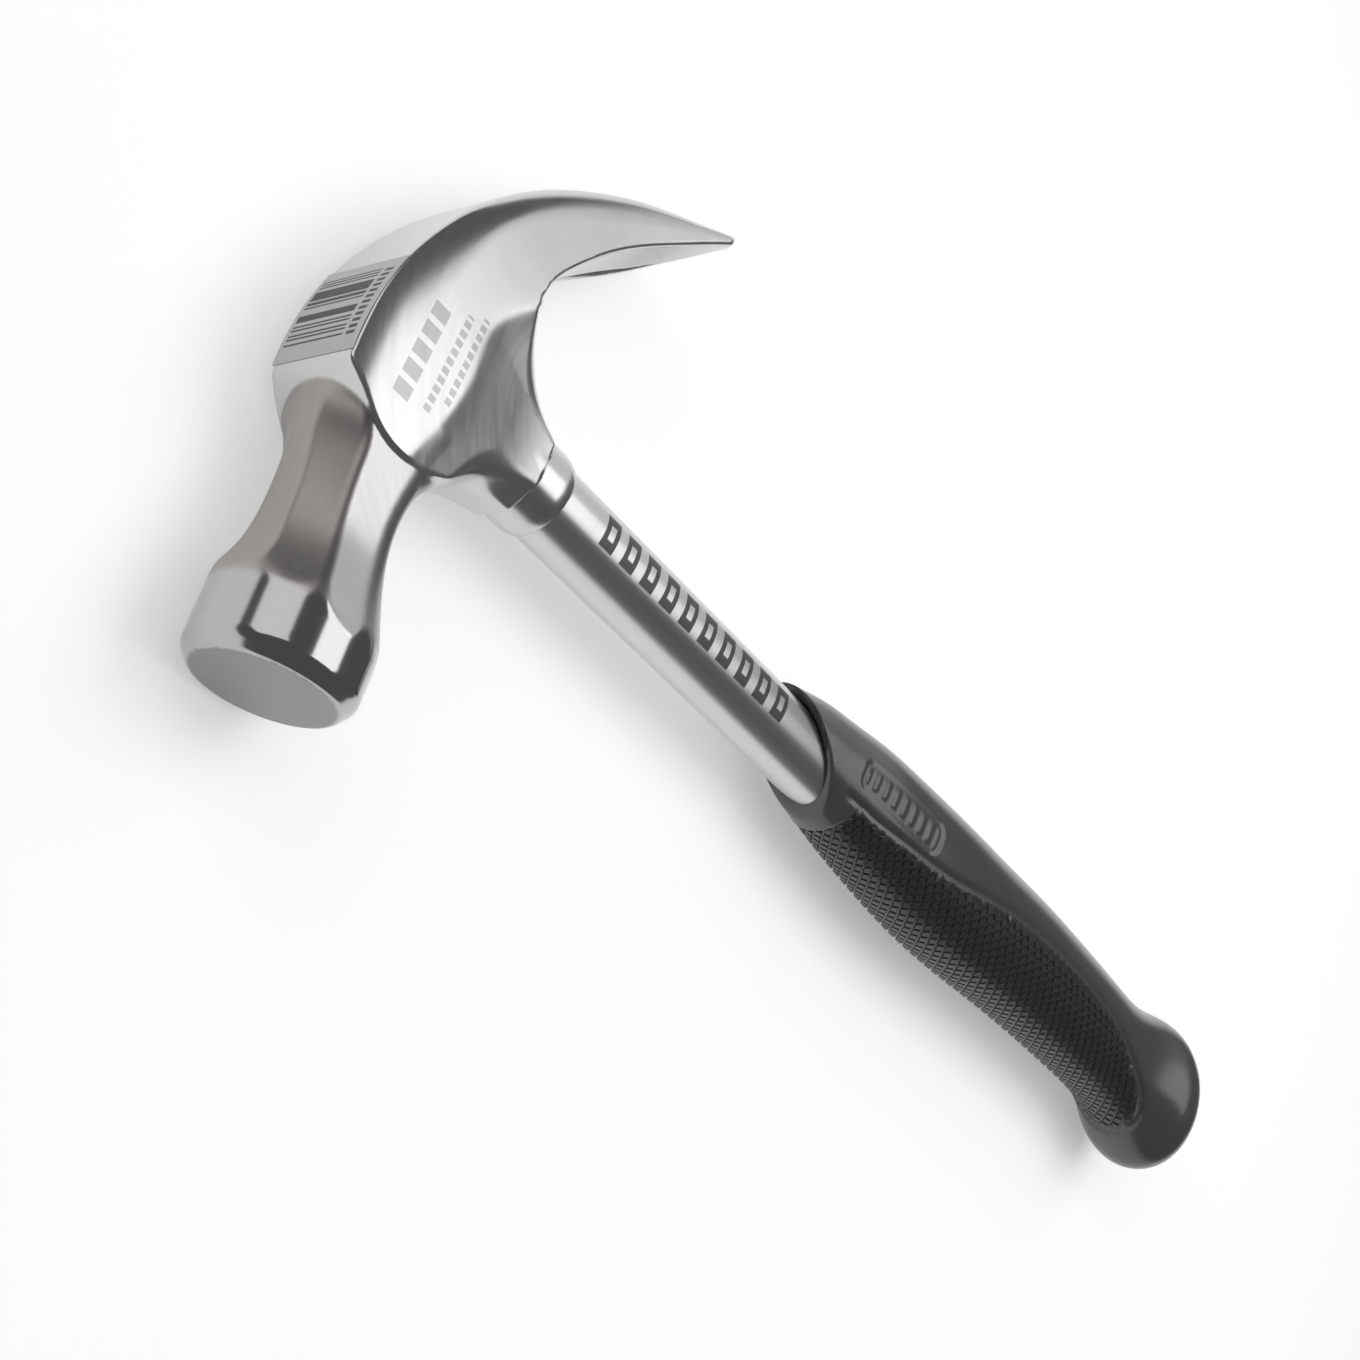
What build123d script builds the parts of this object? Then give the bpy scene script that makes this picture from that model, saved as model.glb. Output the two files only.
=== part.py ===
from build123d import *
import math
import os

# A claw hammer lying on its side.  The mirror plane of the hammer is the XY plane.
# X runs along the head and is positive towards the claw, Y runs up the handle towards the
# top of the head, Z is across the hammer.  The origin is on the axis of the handle, at the
# lower edge of the head's collar.  Millimetres.

# --- driving dimensions ---------------------------------------------------------------------
# Handle tube
tube_radius = 8.36
tube_wall = 1.8
tube_top = 50.0                 # the tube ends inside the head, under the eye plug
tube_bottom = -255.0

# Collar, at the lower end of the head's socket
collar_radius = 9.76
collar_height = 6.5             # above the collar's lower edge
collar_bevel = 1.2              # across, below that edge
collar_bevel_height = 2.0

# Poll: its axis droops a little towards the striking face
poll_droop = 3.4                # degrees
bell_edge = (-64.95, 34.8)      # where the round bell meets the bevel of the face
bell_radius = 16.14
bell_length = 12.8
face_radius = 13.86
face_bevel = 2.86
bell_taper = 10.0
waist_radius = 10.4             # round core of the neck, inside its facets

# Neck facets, one row per station along the head:
# x, top, half width of the top facet, shoulder, half width, hip, bottom
neck_stations = [
    (-14.4, 54.6, 3.0, 51.6, 11.4, 30.0, 24.4),
    (-20.7, 52.4, 3.0, 47.4, 12.0, 31.0, 25.2),
    (-28.0, 50.5, 3.2, 44.6, 11.3, 31.4, 26.8),
    (-35.0, 49.3, 4.0, 43.4, 11.1, 31.0, 26.4),
    (-42.0, 48.8, 4.6, 42.2, 11.6, 30.0, 24.1),
    (-48.0, 49.4, 5.6, 42.0, 13.2, 29.6, 21.3),
    (-53.0, 51.1, 6.6, 42.2, 14.9, 28.9, 19.4),
]

# Cheek, the broad middle of the head, and the flat strip along its top
cheek_half_width = 13.0
cheek_back = 20.0               # the cheek runs into the claw here
cheek_floor = 24.0
cheek_front = [(-17.5, cheek_floor), (-21.8, 35.0), (-20.6, 45.5)]
strip_half_width = 11.1
# Half of the cheek's domed outline seen from the poll: across, up
cheek_dome = [
    (strip_half_width, 57.5),
    (11.3, 54.0),
    (12.9, 45.0),
    (12.9, 34.0),
    (12.2, cheek_floor),
]
cheek_reach = 40.0              # half depth of the dome's cut
ridge = (-13.9, 55.6)           # the strip ends here in a ridge above the neck
strip_crest = (2.5, 55.7)
strip_end = (21.0, 50.2)

# Socket, one row per station up the handle: y, front, back, half width, half corner facet
socket_stations = [
    (3.8, -9.8, 9.8, 9.8, 4.1),
    (9.0, -10.2, 10.6, 10.1, 4.6),
    (14.0, -11.4, 13.2, 10.5, 5.2),
    (18.5, -13.2, 17.4, 11.1, 5.6),
    (24.5, -17.4, 25.6, 12.2, 6.5),
]

# Claw, one row per station along its curve:
# back of the claw, inside of the claw, half width, drop of the crown, belly of the inside
claw_stations = [
    ((12.0, 53.2), (12.0, 26.0), 12.4, 2.0, 0.1),
    ((23.5, 49.3), (20.5, 26.0), 12.5, 2.0, 0.1),
    ((34.4, 42.9), (27.8, 25.8), 12.0, 3.0, 0.4),
    ((45.0, 34.4), (35.8, 21.8), 11.7, 3.2, 2.0),
    ((55.0, 23.5), (44.8, 15.4), 11.6, 3.0, 3.0),
    ((63.2, 11.6), (53.8, 7.2), 11.55, 2.4, 3.3),
    ((69.6, -0.4), (62.6, -2.2), 11.55, 1.8, 3.0),
    ((74.4, -11.6), (71.6, -12.4), 11.55, 1.0, 2.0),
]

belly_half = 0.5                # half width of the belly, as a share of the claw's

# Nail slot: a V between the two tines of the claw
slot_root = (46.0, 24.0)
slot_mouth = (76.6, -20.0)      # beyond the tips
slot_root_radius = 0.9
slot_mouth_half = 6.2
slot_reach = 16.0               # half depth of the cut, through the whole claw
eye_reach = 70.0                # length of the eye's cut, through the whole head

# Eye plug: its disc fills the eye above the tube, its stem spreads the tube
plug_height = 12.0              # before its top is cut to the strip's arc
plug_stem = 8.0
plug_stem_clearance = 0.05
plug_chamfer = 0.8

# Label on the top strip
label_half_width = 10.9
label_thickness = 0.12
label_front = -12.4
label_back = 10.2

# Grip, one row per station along the handle: y, centre towards the claw, half depth, half width
grip_stations = [
    (-76.0, 0.3, 8.9, 8.9),
    (-83.0, 1.2, 9.7, 9.4),
    (-90.0, 1.9, 10.8, 10.2),
    (-100.0, 1.9, 12.2, 11.2),
    (-112.0, 1.7, 13.8, 12.7),
    (-128.0, 1.2, 15.0, 13.8),
    (-146.0, 0.8, 15.8, 14.5),
    (-164.0, 0.9, 15.8, 14.5),
    (-184.0, 1.7, 15.3, 14.1),
    (-204.0, 1.9, 14.6, 13.4),
    (-222.0, 1.6, 14.0, 12.9),
    (-233.0, 1.4, 13.9, 12.8),
    (-241.0, 1.6, 14.8, 13.6),
    (-248.0, 1.4, 16.6, 15.2),
    (-254.0, 0.0, 17.9, 16.5),
    (-259.0, -2.2, 17.0, 15.7),
    (-263.5, -4.2, 13.8, 12.7),
    (-266.5, -5.2, 10.0, 9.2),
    (-268.4, -5.6, 6.0, 5.5),
]
rim_y = -91.0                   # height of the slanting rim on the handle's axis
rim_slant = 47.0                # degrees
rim_reach = 30.0                # half size of the cut above the rim
rim_cut_top = -40.0
end_plug_length = 8.0
end_plug_foot = 2.0             # below the tube

os.makedirs("parts", exist_ok=True)


def save(builder, name):
    builder.part.label = name
    export_step(builder.part, f"parts/{name}.step")


def across_handle(y):
    """The plane across the handle at height y, with its own x along the head."""
    return Plane(origin=(0, y, 0), x_dir=(1, 0, 0), z_dir=(0, 1, 0))


def across_head(x):
    """The plane across the head at x, with its own x across the hammer and its y up the handle."""
    return Plane(origin=(x, 0, 0), x_dir=(0, 0, 1), z_dir=(-1, 0, 0))


def circle_through(first, middle, last):
    """Centre and radius of the circle through three points of the XY plane."""
    arc = ThreePointArc(first, middle, last)
    return arc.arc_center, arc.radius


strip_centre, strip_radius = circle_through(ridge, strip_crest, strip_end)


# --- head -----------------------------------------------------------------------------------
droop = math.radians(poll_droop)
poll_axis = Axis((*bell_edge, 0), (math.cos(droop), math.sin(droop), 0))
poll_plane = Plane(origin=(*bell_edge, 0), x_dir=poll_axis.direction, z_dir=(0, 0, 1))

with BuildPart() as head:
    # Cheek: its outline from the side ...
    with BuildSketch(Plane.XY):
        with BuildLine():
            ThreePointArc(ridge, strip_crest, strip_end)
            Line(strip_end, (cheek_back, cheek_floor))
            Line((cheek_back, cheek_floor), cheek_front[0])
            Spline(*cheek_front, ridge)
        make_face()
    extrude(amount=cheek_half_width, both=True)
    # ... crossed with its domed outline from the poll.
    with BuildSketch(across_head(0)):
        with BuildLine():
            Line((0, cheek_dome[0][1]), cheek_dome[0])
            Spline(*cheek_dome)
            Line(cheek_dome[-1], (0, cheek_floor))
            mirror(about=Plane.YZ)
        make_face()
    extrude(amount=cheek_reach, both=True, mode=Mode.INTERSECT)

    # Bell with its bevelled face, turned about the poll axis.
    with BuildSketch(poll_plane):
        with BuildLine():
            Polyline(
                (-face_bevel, 0),
                (-face_bevel, face_radius),
                (0, bell_radius),
                (bell_length, bell_radius),
                (bell_length + bell_taper, waist_radius),
                (bell_length + bell_taper, 0),
                close=True,
            )
        make_face()
    revolve(axis=poll_axis)

    # Neck: facets that run lengthwise from the cheek to the bell.
    for x, top, top_half, shoulder, half_width, hip, bottom in neck_stations:
        with BuildSketch(across_head(x)):
            Polygon(
                (top_half, top),
                (half_width, shoulder),
                (half_width, hip),
                (top_half, bottom),
                (-top_half, bottom),
                (-half_width, hip),
                (-half_width, shoulder),
                (-top_half, top),
                align=None,
            )
    loft()

    # Socket, with eight facets, and the round collar at its lower end.
    for y, front, back, half_width, corner in socket_stations:
        side = half_width - corner
        with BuildSketch(across_handle(y)):
            Polygon(
                (front, corner),
                (front + side, half_width),
                (back - side, half_width),
                (back, corner),
                (back, -corner),
                (back - side, -half_width),
                (front + side, -half_width),
                (front, -corner),
                align=None,
            )
    loft()
    with BuildSketch(Plane.XY):
        with BuildLine():
            Polyline(
                (0, -collar_bevel_height),
                (collar_radius - collar_bevel, -collar_bevel_height),
                (collar_radius, 0),
                (collar_radius, collar_height),
                (0, collar_height),
                close=True,
            )
        make_face()
    revolve(axis=Axis.Y)

    # Claw: crowned on the back, thinning towards the tips.
    for back, inside, half_width, crown, belly in claw_stations:
        rise = Vector(*back) - Vector(*inside)
        thickness = rise.length
        section = Plane(
            origin=(*inside, 0),
            x_dir=(0, 0, 1),
            z_dir=Vector(0, 0, 1).cross(rise),
        )
        with BuildSketch(section):
            with BuildLine():
                Line((half_width, 0), (half_width, thickness - crown))
                ThreePointArc(
                    (half_width, thickness - crown),
                    (0, thickness),
                    (-half_width, thickness - crown),
                )
                Line((-half_width, thickness - crown), (-half_width, 0))
                Polyline(
                    (-half_width, 0),
                    (-belly_half * half_width, -belly),
                    (belly_half * half_width, -belly),
                    (half_width, 0),
                )
            make_face()
    loft()

    # Nail slot.
    along = Vector(*slot_mouth) - Vector(*slot_root)
    with BuildSketch(
        Plane(origin=(*slot_root, 0), x_dir=along, z_dir=Vector(0, 0, 1).cross(along))
    ):
        Polygon(
            (0, slot_root_radius),
            (0, -slot_root_radius),
            (along.length, -slot_mouth_half),
            (along.length, slot_mouth_half),
            align=None,
        )
        Circle(slot_root_radius)
    extrude(amount=slot_reach, both=True, mode=Mode.SUBTRACT)

    # Eye, right through the head, for the handle tube and its plug.
    with BuildSketch(across_handle(-collar_bevel_height)):
        Circle(tube_radius)
    extrude(amount=eye_reach, mode=Mode.SUBTRACT)

save(head, "head")


# --- handle tube ----------------------------------------------------------------------------
bore_radius = tube_radius - tube_wall

with BuildPart() as shaft_tube:
    with BuildSketch(across_handle(tube_bottom)):
        Circle(tube_radius)
        Circle(bore_radius, mode=Mode.SUBTRACT)
    extrude(amount=tube_top - tube_bottom)

save(shaft_tube, "shaft_tube")


# --- eye plug -------------------------------------------------------------------------------
with BuildPart() as eye_plug:
    with BuildSketch(across_handle(tube_top)):
        Circle(tube_radius)
    extrude(amount=plug_height)
    # Its top follows the arc of the strip.
    with BuildSketch(Plane.XY):
        with Locations(strip_centre):
            Circle(strip_radius)
    extrude(amount=tube_radius + 1, both=True, mode=Mode.INTERSECT)
    with BuildSketch(across_handle(tube_top - plug_stem)):
        Circle(bore_radius - plug_stem_clearance)
    extrude(amount=plug_stem)
    chamfer(eye_plug.edges().group_by(Axis.Y)[0], plug_chamfer)

save(eye_plug, "eye_plug")


# --- tube end plug --------------------------------------------------------------------------
with BuildPart() as tube_end_plug:
    with BuildSketch(across_handle(tube_bottom)):
        Circle(bore_radius - plug_stem_clearance)
    extrude(amount=end_plug_length)
    chamfer(tube_end_plug.edges().group_by(Axis.Y)[-1], plug_chamfer)
    with BuildSketch(across_handle(tube_bottom)):
        Circle(tube_radius)
    extrude(amount=-end_plug_foot)

save(tube_end_plug, "tube_end_plug")


# --- label ----------------------------------------------------------------------------------
def strip_angle(x):
    """Angle in degrees, seen from the strip's centre, of the point of the strip at this x."""
    return math.degrees(math.acos((x - strip_centre.X) / strip_radius))


with BuildPart() as top_label:
    with BuildSketch(Plane.XY):
        with BuildLine():
            sweep = strip_angle(label_front) - strip_angle(label_back)
            outer = CenterArc(
                strip_centre, strip_radius + label_thickness, strip_angle(label_back), sweep
            )
            inner = CenterArc(strip_centre, strip_radius, strip_angle(label_back), sweep)
            Line(outer @ 0, inner @ 0)
            Line(outer @ 1, inner @ 1)
        make_face()
    extrude(amount=label_half_width, both=True)

save(top_label, "top_label")


# --- grip -----------------------------------------------------------------------------------
with BuildPart() as grip:
    for y, centre, half_depth, half_width in grip_stations:
        with BuildSketch(across_handle(y)):
            with Locations((centre, 0)):
                Ellipse(half_depth, half_width)
    loft()
    # The slanting rim, higher on the claw side.
    with BuildSketch(Plane.XY):
        slant = math.tan(math.radians(rim_slant))
        Polygon(
            (-rim_reach, rim_y - rim_reach * slant),
            (rim_reach, rim_y + rim_reach * slant),
            (rim_reach, rim_cut_top),
            (-rim_reach, rim_cut_top),
            align=None,
        )
    extrude(amount=rim_reach, both=True, mode=Mode.SUBTRACT)
    # Bore for the tube and the foot of its end plug.
    bore_bottom = tube_bottom - end_plug_foot
    with BuildSketch(across_handle(bore_bottom)):
        Circle(tube_radius)
    extrude(amount=rim_cut_top - bore_bottom, mode=Mode.SUBTRACT)

save(grip, "grip")
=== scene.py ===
import math

import bpy
import numpy as np
from mathutils import Matrix, Vector

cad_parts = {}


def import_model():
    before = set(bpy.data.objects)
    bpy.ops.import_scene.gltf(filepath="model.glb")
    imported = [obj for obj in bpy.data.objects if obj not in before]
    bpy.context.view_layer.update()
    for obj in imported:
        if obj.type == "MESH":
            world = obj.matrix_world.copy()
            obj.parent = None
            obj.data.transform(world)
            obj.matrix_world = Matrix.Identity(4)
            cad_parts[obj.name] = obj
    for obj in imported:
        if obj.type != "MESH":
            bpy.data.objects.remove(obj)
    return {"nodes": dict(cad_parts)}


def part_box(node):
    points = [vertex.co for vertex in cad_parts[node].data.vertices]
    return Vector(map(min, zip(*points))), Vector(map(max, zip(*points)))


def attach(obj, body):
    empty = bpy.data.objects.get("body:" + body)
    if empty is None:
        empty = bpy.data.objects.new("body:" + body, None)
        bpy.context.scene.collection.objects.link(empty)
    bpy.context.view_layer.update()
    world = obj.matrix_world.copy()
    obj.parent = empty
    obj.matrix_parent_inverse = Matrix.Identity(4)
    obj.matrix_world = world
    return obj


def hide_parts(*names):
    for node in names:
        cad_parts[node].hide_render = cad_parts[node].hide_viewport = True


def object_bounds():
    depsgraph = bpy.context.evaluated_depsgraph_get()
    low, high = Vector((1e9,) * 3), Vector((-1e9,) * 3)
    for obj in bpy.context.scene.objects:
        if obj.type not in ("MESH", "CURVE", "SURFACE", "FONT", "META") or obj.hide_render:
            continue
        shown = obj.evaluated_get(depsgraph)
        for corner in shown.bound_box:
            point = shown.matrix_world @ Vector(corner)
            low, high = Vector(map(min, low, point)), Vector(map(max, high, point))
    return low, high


# The looks of a claw hammer that lies on its side.  Shapes are worked out in millimetres in the
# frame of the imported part: X along the head towards the claw, Y up the handle, Z across.

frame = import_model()
cad_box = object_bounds()

MM = 0.001
BODY = "root"


def cad(node):
    """Lowest and highest corner of a CAD node, in millimetres."""
    low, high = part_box(node)
    return np.array(low) / MM, np.array(high) / MM


head_low, head_high = cad("head")
tube_low, tube_high = cad("shaft_tube")
grip_low, grip_high = cad("grip")
floor_height = cad_box[0].z
tube_radius = tube_high[0]

# --- driving dimensions of the head ---------------------------------------------------------
# Back of the head, from the ridge over the strip and down the claw:
# x, y, flat half width, depth of the rounded shoulder
back_stations = np.array([
    (-13.9, 55.7, 10.8, 10.0),
    (-5.5, 56.1, 10.8, 10.0),
    (2.5, 55.8, 10.8, 10.0),
    (12.0, 53.7, 10.8, 9.4),
    (21.0, 50.3, 10.5, 8.0),
    (28.0, 46.9, 9.6, 6.6),
    (34.4, 42.8, 8.3, 6.0),
    (45.0, 34.3, 6.5, 6.4),
    (55.0, 23.4, 5.5, 7.0),
    (63.2, 11.6, 5.2, 6.0),
    (69.4, -0.8, 5.2, 3.6),
    (74.0, -11.4, 6.0, 1.6),
])
# Inside of the claw from tip to throat, and down the back of the socket: x, y, belly
inside_stations = np.array([
    (71.6, -12.4, 0.2),
    (68.2, -8.4, 1.2),
    (62.6, -2.2, 2.5),
    (53.8, 7.2, 3.2),
    (44.8, 15.4, 2.6),
    (35.8, 21.6, 1.2),
    (30.0, 24.7, 0.3),
    (25.8, 25.4, 0.0),
    (21.6, 22.6, 0.0),
    (17.4, 18.5, 0.0),
    (13.2, 13.4, 0.0),
    (10.8, 8.6, 0.0),
    (9.6, 3.8, 0.0),
])
# Front of the socket and of the cheek, from the collar up to the ridge
front_points = np.array([
    (-9.6, 3.8),
    (-10.3, 9.0),
    (-11.5, 14.0),
    (-13.6, 19.0),
    (-17.6, 25.0),
    (-20.8, 31.0),
    (-22.2, 37.0),
    (-22.1, 42.0),
    (-20.5, 46.7),
    (-17.2, 51.4),
    (-13.9, 55.7),
])
# Below this line the flank falls away from the cheek towards the handle
flank_points = np.array([
    (-21.0, 36.6),
    (-8.2, 33.0),
    (2.0, 32.4),
    (11.0, 32.8),
    (17.0, 29.6),
    (22.0, 25.6),
])
flank_slope = 0.14
flank_most = 2.85               # depth at which that slope ends, above the collar
flank_drop = 0.45               # extra fall right below the line
flank_reach = 3.0               # and the distance over which it comes
flank_softness = 1.4            # rounding of the line itself
flank_end = (34.0, 24.0)        # x: there is no fall on the claw
socket_floor = 6.9              # y: here the socket ends in a small step above the collar
socket_end = (15.0, 25.0)       # x: and this end doesn't cut into the claw
# Corner facets of the socket: height, distance of the facet from the front or back corner
corner_stations = np.array([
    (1.0, 3.6),
    (5.0, 4.0),
    (9.0, 4.5),
    (14.0, 5.2),
    (18.5, 6.6),
    (24.5, 11.0),
    (30.0, 20.0),
])
corner_end = (22.0, 30.0)       # x: the facets stop before the claw
# Half width of the side, from the cheek down the claw: place along the claw's slope, half width
width_stations = np.array([(0.0, 12.9), (20.0, 12.6), (40.0, 11.9), (60.0, 11.5), (80.0, 11.5)])
claw_slope = (0.8, -0.6)
claw_root = (0.0, 30.0)
claw_half = 11.5                # half width at the tips
shoulder_change = (30.0, 60.0)  # along the back: the cheek's shoulder turns into the claw's
throat_height = (25.0, 30.0)    # y and x: the socket's rounded edge turns into the claw's
throat_reach = (24.0, 27.0)

collar_radius = 9.5
collar_top = 12.0               # inside the socket
collar_bevel = 0.6
collar_bevel_height = 1.7
eye_bore = 8.5
eye_bore_low = 8.1              # closer round the tube in the thin collar
eye_step = (10.0, 8.0)          # y: between the two

poll_droop = math.radians(3.4)
bell_edge = (-64.95, 34.8)
bell_radius = 16.1
face_radius = 13.86
face_bevel = 2.82
bell_start = (-53.0, -56.0)     # x: the neck's finish turns into the bell's
face_start = (-60.0, -64.0)     # x: and the face's is beyond this
# Neck facets: x, top, half width of the top, height of the chamfer there, shoulder, half width,
# hip, bottom
neck_stations = np.array([
    (-14.1, 54.2, 3.0, 57.0, 55.5, 12.3, 30.0, 24.4),
    (-16.2, 53.5, 3.0, 54.7, 52.7, 12.2, 30.5, 24.8),
    (-18.2, 53.0, 3.0, 53.4, 50.2, 12.1, 30.8, 25.0),
    (-20.7, 52.3, 3.0, 52.3, 47.5, 12.0, 31.0, 25.4),
    (-28.0, 50.4, 3.2, 50.4, 44.6, 11.4, 31.4, 26.8),
    (-35.0, 49.2, 4.0, 49.2, 43.4, 11.1, 31.0, 26.4),
    (-42.0, 48.8, 4.6, 48.8, 42.2, 11.6, 30.0, 24.1),
    (-48.0, 49.4, 5.6, 49.4, 42.0, 13.2, 29.6, 21.3),
    (-53.0, 51.1, 6.6, 51.1, 42.2, 14.9, 28.9, 19.4),
])
neck_back = -12.5               # the neck ends here, inside the cheek
neck_blend = 5.0                # its underside flows into the cheek,
neck_blend_height = (38.0, 30.0)
neck_blend_half = (12.0, 8.0)   # but its sides meet it in a crisp line
ridge = back_stations[0, :2]
ridge_rise = 1.1                # slope of the short bevel under the ridge
ridge_cut = (-14.6, -13.2)      # x: the neck's chamfer cuts the cheek's corner up to here
# How far the cuts of corners, socket and ridge move out of the way where they shouldn't act
corner_lift, socket_lift, ridge_lift = 20.0, 40.0, 30.0

slot_root = (46.0, 24.0)
slot_mouth = (76.6, -20.0)
slot_root_radius = 0.9
slot_mouth_half = 6.0
slot_bevel = 0.75
slot_bevel_depth = 2.0
slot_bevel_start = (-4.0, 8.0)  # along the slot, from its root
belly_edge = 10.9               # the claw's hollow underside starts at this half width
belly_run = 4.2
tip_corner = (71.8, -11.8)
tip_direction = (0.45, -0.893)
tip_slant = 0.62
tip_clear = 0.05                # from the end of the CAD head
bow_centre = (14.0, -2.0)       # the grinding marks of cheek and claw run around this point
bow_radius = 55.0
diagonal = 0.7071
crisp = 0.7                     # blend of the head's crisp edges
fine = 0.4                      # and of its finest ones
head_step = 0.55                # size of the mesh cells


# --- small numerical tools ------------------------------------------------------------------
def spline(knots, values):
    """A natural cubic spline through the values, going on straight beyond its ends."""
    t, v = np.asarray(knots, float), np.asarray(values, float)
    h = np.diff(t)
    slope = np.diff(v) / h
    count = len(t)
    matrix = np.eye(count)
    change = np.zeros(count)
    for i in range(1, count - 1):
        matrix[i, i - 1 : i + 2] = h[i - 1], 2 * (h[i - 1] + h[i]), h[i]
        change[i] = 6 * (slope[i] - slope[i - 1])
    bend = np.linalg.solve(matrix, change)
    first = slope[0] - h[0] * bend[1] / 6
    last = slope[-1] + h[-1] * bend[-2] / 6

    def at(x):
        held = np.clip(x, t[0], t[-1])
        i = np.clip(np.searchsorted(t, held) - 1, 0, count - 2)
        p, q, w = held - t[i], t[i + 1] - held, h[i]
        inner = (bend[i] * q**3 + bend[i + 1] * p**3) / (6 * w)
        inner = inner + (v[i] / w - bend[i] * w / 6) * q + (v[i + 1] / w - bend[i + 1] * w / 6) * p
        return inner + np.minimum(x - t[0], 0) * first + np.maximum(x - t[-1], 0) * last

    return at


class Line:
    """A smooth open line through points of the XY plane, going on straight past its ends."""

    spacing = 0.5
    stride = 8

    def __init__(self, points, reach=25.0):
        steps = np.hypot(*np.diff(points[:, :2], axis=0).T)
        self.knots = np.concatenate([[0], np.cumsum(steps)])
        self.s = np.arange(-reach, self.knots[-1] + reach, self.spacing)
        self.x = spline(self.knots, points[:, 0])(self.s)
        self.y = spline(self.knots, points[:, 1])(self.s)
        dx, dy = np.gradient(self.x), np.gradient(self.y)
        length = np.hypot(dx, dy)
        self.tx, self.ty = dx / length, dy / length
        self.bend = (dx * np.gradient(dy) - dy * np.gradient(dx)) / length**3

    def measure(self, x, y):
        """Distance from the line, positive on its left, and the nearest point's place along it."""
        x, y = np.broadcast_arrays(x, y)
        px, py = x.reshape(-1, 1), y.reshape(-1, 1)
        sparse = np.arange(0, len(self.s), self.stride)
        gap = (px - self.x[sparse]) ** 2 + (py - self.y[sparse]) ** 2
        near = sparse[gap.argmin(1)][:, None] + np.arange(-self.stride, self.stride + 1)
        near = np.clip(near, 0, len(self.s) - 1)
        gap = (px - self.x[near]) ** 2 + (py - self.y[near]) ** 2
        nearest = np.take_along_axis(near, gap.argmin(1)[:, None], 1)[:, 0]
        place = self.from_sample(x.ravel(), y.ravel(), nearest)[1]
        before = np.clip(((place - self.s[0]) / self.spacing).astype(int), 0, len(self.s) - 2)
        share = np.clip((place - self.s[before]) / self.spacing, 0, 1)
        away, place = self.from_sample(x.ravel(), y.ravel(), before)
        next_away, next_place = self.from_sample(x.ravel(), y.ravel(), before + 1)
        away, place = away + (next_away - away) * share, place + (next_place - place) * share
        return away.reshape(x.shape), place.reshape(x.shape)

    def from_sample(self, x, y, i):
        """Distance from the circle that touches the line at a sample, and the place along it."""
        dx, dy, bend = x - self.x[i], y - self.y[i], self.bend[i]
        u, v = dx * self.tx[i] + dy * self.ty[i], self.tx[i] * dy - self.ty[i] * dx
        away = (2 * v - bend * (u * u + v * v)) / (1 + np.hypot(bend * u, 1 - bend * v))
        return away, self.s[i] + u / np.maximum(1 - bend * v, 0.3)


def smooth_max(a, b, k):
    """The greater of two fields, with their crossing rounded over a width k."""
    blend = np.maximum(k - np.abs(a - b), 0) / k
    return np.maximum(a, b) + blend * blend * k / 4


def smooth_min(a, b, k):
    """The smaller of two fields, rounded in the same way."""
    return -smooth_max(-a, -b, k)


def ramp(x, start, end):
    """Smoothly from 0 at start to 1 at end."""
    t = np.clip((x - start) / (end - start), 0, 1)
    return t * t * (3 - 2 * t)


def surface_of(field, low, high, step):
    """Quads on the zero level of a field: one point in each grid cell that the surface crosses."""
    axes = [np.arange(a, b + step, step) for a, b in zip(low, high)]
    values = field(*np.meshgrid(*axes, indexing="ij", sparse=True))
    shape = np.array(values.shape)
    owners, places, flips = [], [], []
    for axis in range(3):
        first = np.moveaxis(values, axis, 0)[:-1]
        second = np.moveaxis(values, axis, 0)[1:]
        found = np.argwhere((first < 0) != (second < 0))
        a, b = first[tuple(found.T)], second[tuple(found.T)]
        order = [axis, *[i for i in range(3) if i != axis]]
        cell = np.empty_like(found)
        cell[:, order] = found
        place = cell.astype(float)
        place[:, axis] += a / (a - b)
        side, other = np.eye(3, dtype=int)[(axis + 1) % 3], np.eye(3, dtype=int)[(axis + 2) % 3]
        ring = np.array([side * 0, side, side + other, other])
        owners.append(cell[:, None] - ring)
        places.append(np.repeat(place[:, None], 4, axis=1))
        flips.append(a < 0)
    owners, places, flips = map(np.concatenate, (owners, places, flips))
    keys = np.ravel_multi_index(tuple(np.moveaxis(owners, -1, 0)), shape)
    faces = np.unique(keys, return_inverse=True)[1].reshape(-1, 4)
    points = [
        np.bincount(faces.ravel(), places[..., i].ravel()) / np.bincount(faces.ravel())
        for i in range(3)
    ]
    faces[flips] = faces[flips][:, ::-1]
    return np.stack(points, 1) * step + np.array(low), faces[:, ::-1]


def slope_of(field, points, reach=0.06):
    """Gradient of a field at points."""
    columns = []
    for offset in np.eye(3) * reach:
        columns.append((field(*(points + offset).T) - field(*(points - offset).T)) / (2 * reach))
    return np.stack(columns, 1)


def settle(field, points, rounds=2, limit=0.4):
    """Moves points on to the zero level of a field."""
    for _ in range(rounds):
        slope = slope_of(field, points)
        move = -field(*points.T)[:, None] * slope / np.maximum((slope**2).sum(1), 0.2)[:, None]
        points = points + np.clip(move, -limit, limit)
    return points


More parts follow.
